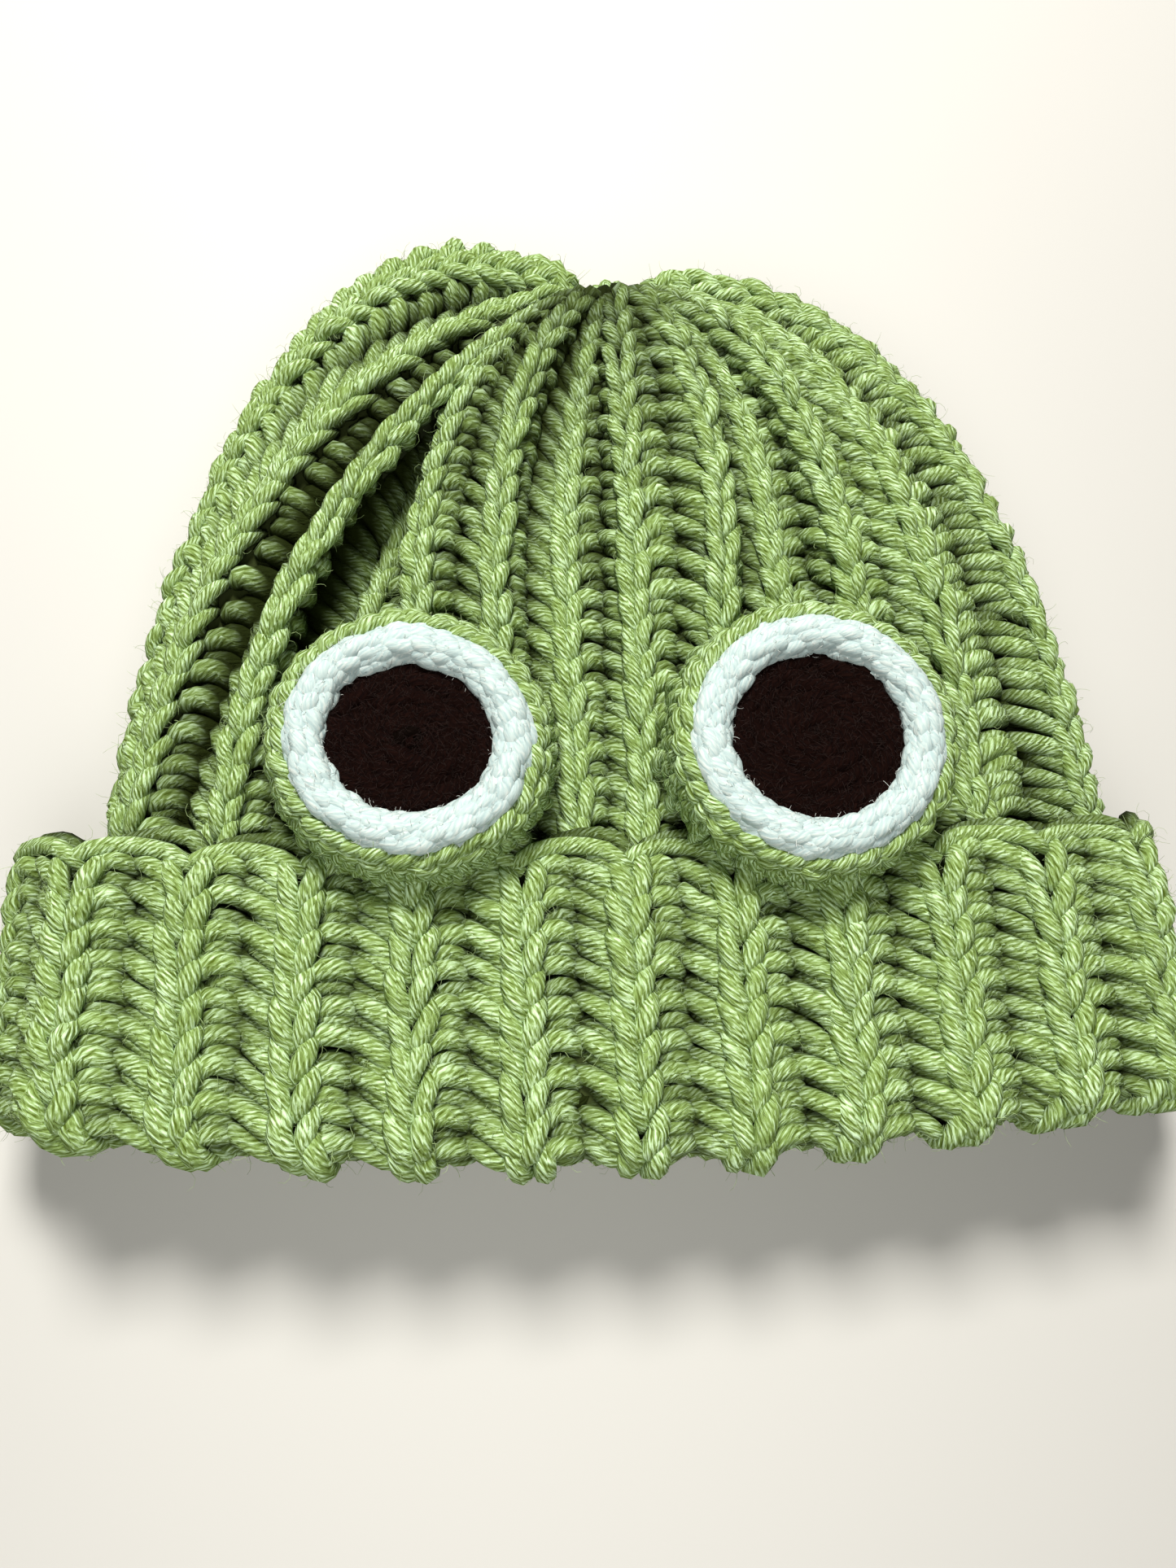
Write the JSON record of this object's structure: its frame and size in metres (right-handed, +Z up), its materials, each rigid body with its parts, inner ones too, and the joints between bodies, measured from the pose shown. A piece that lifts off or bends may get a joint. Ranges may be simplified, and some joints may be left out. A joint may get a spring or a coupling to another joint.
{
  "type": "crochet beanie",
  "caption": "Ribbed crochet beanie with a turned-up cuff, a gathered crown and stuffed round eyes sewn on its front, lying flat on its back.",
  "frame": {"origin": "on the table, under the middle of the flat hat's bounding box", "axes": "+X across the hat, from left_eye_cup to right_eye_cup; +Y from the mouth to the crown; +Z up, out of the front of the hat"},
  "size_m": [0.243, 0.205, 0.0504],
  "materials": {
    "rib_yarn": "matte, worsted-weight plied acrylic yarn",
    "eye_green_yarn": "matte, worsted-weight plied acrylic yarn",
    "eye_white_yarn": "matte, brushed white yarn",
    "eye_black_yarn": "matte, fuzzy black-brown yarn",
    "sewing_yarn": "matte, plied acrylic yarn",
    "fibre_filling": "matte, loose polyester fibre"
  },
  "bodies": {
    "root": {"ribbed_body": "rib_yarn", "turned_up_cuff": "rib_yarn", "crown_gather_yarn": "sewing_yarn", "crown_knot": "sewing_yarn", "back_seam_yarn": "sewing_yarn", "left_eye_cup": "eye_green_yarn", "left_eye_white": "eye_white_yarn", "left_eye_pupil": "eye_black_yarn", "left_eye_filling": "fibre_filling", "left_eye_sewing_yarn": "sewing_yarn", "right_eye_cup": "eye_green_yarn", "right_eye_white": "eye_white_yarn", "right_eye_pupil": "eye_black_yarn", "right_eye_filling": "fibre_filling", "right_eye_sewing_yarn": "sewing_yarn"}
  },
  "joints": []
}
